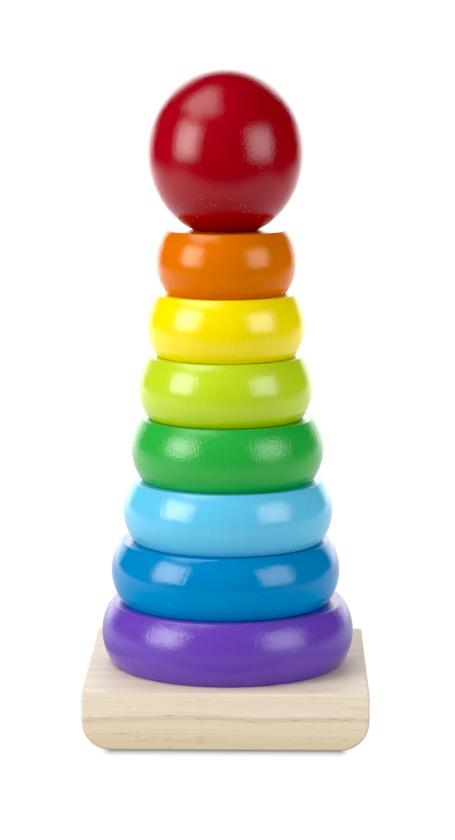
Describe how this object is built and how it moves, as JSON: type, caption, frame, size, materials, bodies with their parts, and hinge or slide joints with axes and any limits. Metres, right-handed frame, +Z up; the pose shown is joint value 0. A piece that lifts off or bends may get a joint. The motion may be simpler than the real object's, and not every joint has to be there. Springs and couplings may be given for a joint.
{
  "type": "stacking ring toy",
  "caption": "Wooden stacking ring toy: bulging painted rings of falling size lift off a round post that stands on a square wooden base and is capped by a ball.",
  "frame": {"origin": "centre of the square base's underside, where it rests on the table", "axes": "+Z up along the post, +X to the toy's right and +Y to its back, both square to the base's sides"},
  "size_m": [0.12, 0.12, 0.2806],
  "materials": {
    "bare_wood": "sanded bare pale wood, fine straight grain",
    "purple_paint": "gloss paint on turned wood",
    "blue_paint": "gloss paint on turned wood",
    "light_blue_paint": "gloss paint on turned wood",
    "green_paint": "gloss paint on turned wood",
    "lime_paint": "gloss paint on turned wood",
    "yellow_paint": "gloss paint on turned wood",
    "orange_paint": "gloss paint on turned wood",
    "red_paint": "gloss paint on turned wood"
  },
  "bodies": {
    "base_and_post": {"base": "bare_wood", "post": "bare_wood"},
    "purple_ring": {"purple_ring": "purple_paint"},
    "blue_ring": {"blue_ring": "blue_paint"},
    "light_blue_ring": {"light_blue_ring": "light_blue_paint"},
    "green_ring": {"green_ring": "green_paint"},
    "lime_ring": {"lime_ring": "lime_paint"},
    "yellow_ring": {"yellow_ring": "yellow_paint"},
    "orange_ring": {"orange_ring": "orange_paint"},
    "ball": {"ball": "red_paint"}
  },
  "joints": [
    {"name": "purple_ring_lift", "type": "slide", "parent": "base_and_post", "child": "purple_ring", "axis": [0, 0, 1], "range_m": [0, 0.218]},
    {"name": "blue_ring_lift", "type": "slide", "parent": "purple_ring", "child": "blue_ring", "axis": [0, 0, 1], "range_m": [0, 0.191]},
    {"name": "light_blue_ring_lift", "type": "slide", "parent": "blue_ring", "child": "light_blue_ring", "axis": [0, 0, 1], "range_m": [0, 0.164]},
    {"name": "green_ring_lift", "type": "slide", "parent": "light_blue_ring", "child": "green_ring", "axis": [0, 0, 1], "range_m": [0, 0.137]},
    {"name": "lime_ring_lift", "type": "slide", "parent": "green_ring", "child": "lime_ring", "axis": [0, 0, 1], "range_m": [0, 0.11]},
    {"name": "yellow_ring_lift", "type": "slide", "parent": "lime_ring", "child": "yellow_ring", "axis": [0, 0, 1], "range_m": [0, 0.083]},
    {"name": "orange_ring_lift", "type": "slide", "parent": "yellow_ring", "child": "orange_ring", "axis": [0, 0, 1], "range_m": [0, 0.056]},
    {"name": "ball_lift", "type": "slide", "parent": "orange_ring", "child": "ball", "axis": [0, 0, 1], "range_m": [0, 0.03]}
  ]
}
